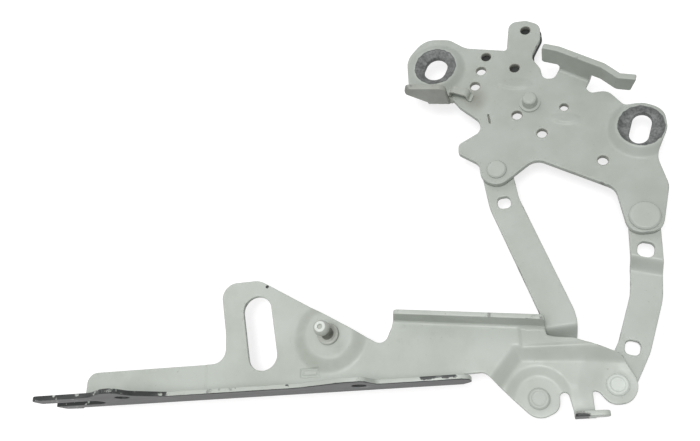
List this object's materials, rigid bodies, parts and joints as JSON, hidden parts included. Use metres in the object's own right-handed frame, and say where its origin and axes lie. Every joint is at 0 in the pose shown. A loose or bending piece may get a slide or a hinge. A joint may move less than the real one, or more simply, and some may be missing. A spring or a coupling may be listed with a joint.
{
  "type": "bonnet hinge",
  "caption": "Pressed-steel four-link bonnet hinge: body bracket with dished bolt seats, two links, and a bonnet arm with a bolting flange and a gas-strut ball stud.",
  "frame": {"origin": "axis of the front body bolt hole, at the mouth of the hole in its dished seat", "axes": "+Z along the pivots, out of the bracket's front face; +X along the bonnet flange towards the pivots; +Y from the bonnet flange towards the body bracket"},
  "size_m": [0.4072, 0.2764, 0.0689],
  "materials": {
    "grey_paint": "satin body-colour paint over dark electrocoat",
    "bare_steel": "bare, slightly dull",
    "bush_bronze": "matt bearing bronze",
    "stud_steel": "turned, plated and partly painted over"
  },
  "bodies": {
    "body_bracket": {"bracket_plate": "grey_paint", "doubler_plate": "grey_paint", "guide_rivet": "grey_paint", "guide_collar": "grey_paint", "harness_loop": "grey_paint", "front_bracket_rivet": "grey_paint", "rear_bracket_rivet": "grey_paint", "front_bracket_washer": "bare_steel", "rear_bracket_washer": "bare_steel"},
    "front_link": {"front_link": "grey_paint", "front_upper_bush": "bush_bronze", "front_lower_bush": "bush_bronze"},
    "bonnet_arm": {"arm_plate": "grey_paint", "front_arm_rivet": "grey_paint", "rear_arm_rivet": "grey_paint", "front_arm_washer": "bare_steel", "rear_arm_washer": "bare_steel", "ball_stud": "stud_steel", "stud_washer": "bare_steel"},
    "rear_link": {"rear_link": "grey_paint", "rear_lower_bush": "bush_bronze"}
  },
  "joints": [
    {"name": "front_link_pivot", "type": "hinge", "parent": "body_bracket", "child": "front_link", "pos_m": [0.035, -0.0845, -0.0085], "axis": [0, 0, 1], "range_deg": [-3.5, 24.5]},
    {"name": "bonnet_arm_pivot", "type": "hinge", "parent": "front_link", "child": "bonnet_arm", "pos_m": [0.04569, -0.23261, -0.0175], "axis": [0, 0, 1], "range_deg": [-48, 7]},
    {"name": "rear_link_pivot", "type": "hinge", "parent": "bonnet_arm", "child": "rear_link", "pos_m": [0.09069, -0.22711, -0.0175], "axis": [0, 0, 1], "range_deg": [-8.5, 57.5]}
  ],
  "couplings": [
    {"joint": "bonnet_arm_pivot", "follows": "front_link_pivot", "ratio": -1.9524},
    {"joint": "rear_link_pivot", "follows": "front_link_pivot", "ratio": 2.3354}
  ]
}
